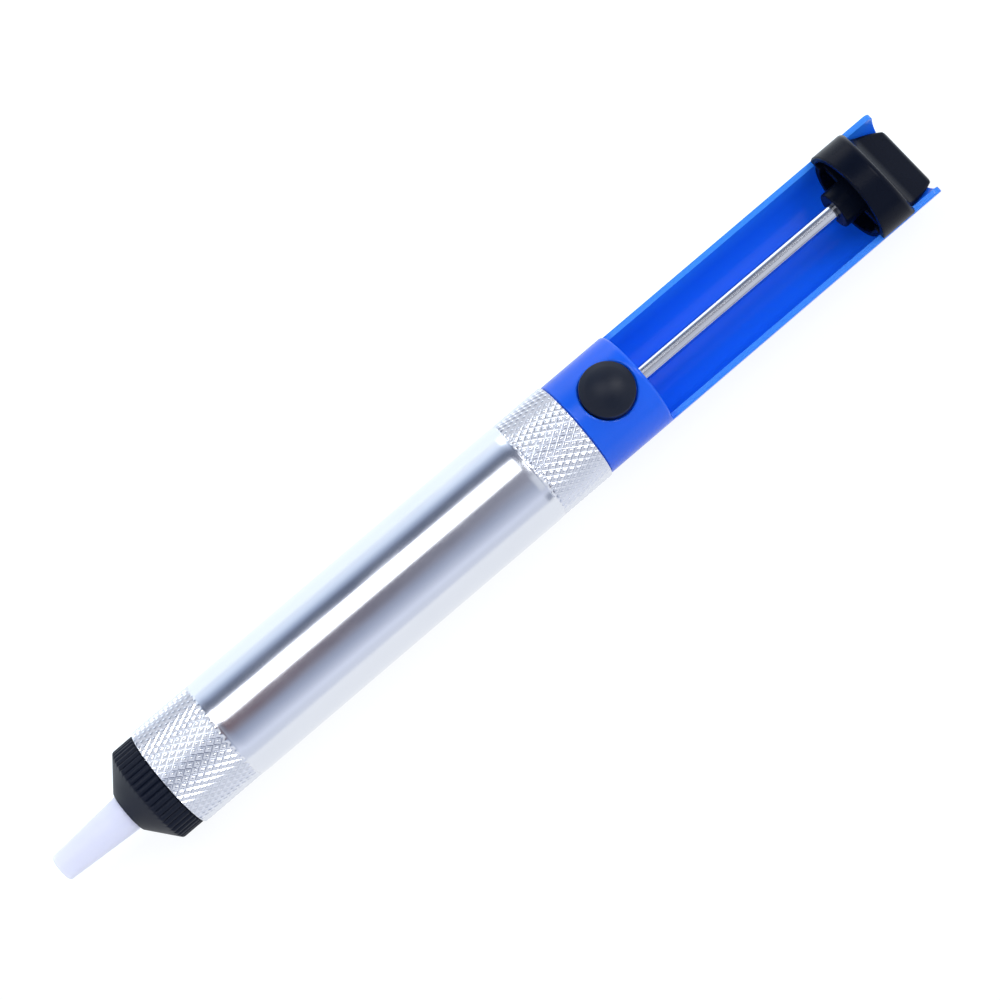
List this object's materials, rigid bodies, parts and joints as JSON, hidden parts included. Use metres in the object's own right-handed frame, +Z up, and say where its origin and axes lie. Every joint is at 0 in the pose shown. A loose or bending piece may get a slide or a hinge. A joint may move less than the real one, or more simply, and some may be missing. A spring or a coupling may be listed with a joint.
{
  "type": "desoldering pump",
  "caption": "Spring-powered hand desoldering pump: slim knurled metal barrel, heat-proof nozzle, release button, and a thumb-knob plunger in a half-open guard.",
  "frame": {"origin": "on the surface that the tool lies on, under the middle of its bounding box", "axes": "+X along the tool from the nozzle to the thumb knob; +Z up, the side of the release button and of the guard's open side; +Y completes a right-handed frame"},
  "size_m": [0.1934, 0.02, 0.0218],
  "materials": {
    "barrel_metal": "satin turned, with diamond-knurled bands",
    "housing_plastic": "glossy moulded, slightly translucent blue",
    "black_plastic": "satin moulded black",
    "button_plastic": "satin moulded black",
    "nozzle_ptfe": "smooth, waxy, slightly translucent white",
    "rod_steel": "drawn, polished along its length",
    "spring_steel": "bright wire",
    "plate_steel": "stamped, zinc plated",
    "piston_plastic": "smooth moulded, off-white",
    "seal_rubber": "smooth black",
    "bush_brass": "turned"
  },
  "bodies": {
    "barrel": {"barrel": "barrel_metal", "rear_housing": "housing_plastic", "rod_guide_bush": "bush_brass", "buffer_ring": "seal_rubber", "main_spring": "spring_steel", "button_spring": "spring_steel"},
    "nose_thread": {"nose_seal_ring": "seal_rubber"},
    "nose": {"nose_cap": "black_plastic", "nozzle": "nozzle_ptfe", "nozzle_retainer": "plate_steel", "spring_seat_washer": "plate_steel"},
    "plunger": {"plunger_rod": "rod_steel", "cleaning_pin": "rod_steel", "piston": "piston_plastic", "piston_seal_ring": "seal_rubber", "piston_washer": "plate_steel", "piston_clips": "plate_steel", "knob": "black_plastic"},
    "button": {"button_cap": "button_plastic", "latch_plate": "plate_steel"}
  },
  "joints": [
    {"name": "plunger_slide", "type": "slide", "parent": "barrel", "child": "plunger", "axis": [-1, 0, 0], "range_m": [0, 0.0454], "stiffness_N_per_m": 408, "springref_m": -0.0125, "deforming": ["main_spring"]},
    {"name": "button_press", "type": "slide", "parent": "barrel", "child": "button", "axis": [0, 0, -1], "range_m": [0, 0.002], "stiffness_N_per_m": 800, "springref_m": -0.0012, "deforming": ["button_spring"]},
    {"name": "nose_advance", "type": "slide", "parent": "barrel", "child": "nose_thread", "axis": [-1, 0, 0], "range_m": [0, 0.0081]},
    {"name": "nose_turn", "type": "hinge", "parent": "nose_thread", "child": "nose", "pos_m": [-0.0697, 0, 0.01], "axis": [-1, 0, 0], "range_deg": [0, 2880]}
  ],
  "couplings": [
    {"joint": "nose_advance", "follows": "nose_turn", "m_per_rad": 0.00015915}
  ]
}
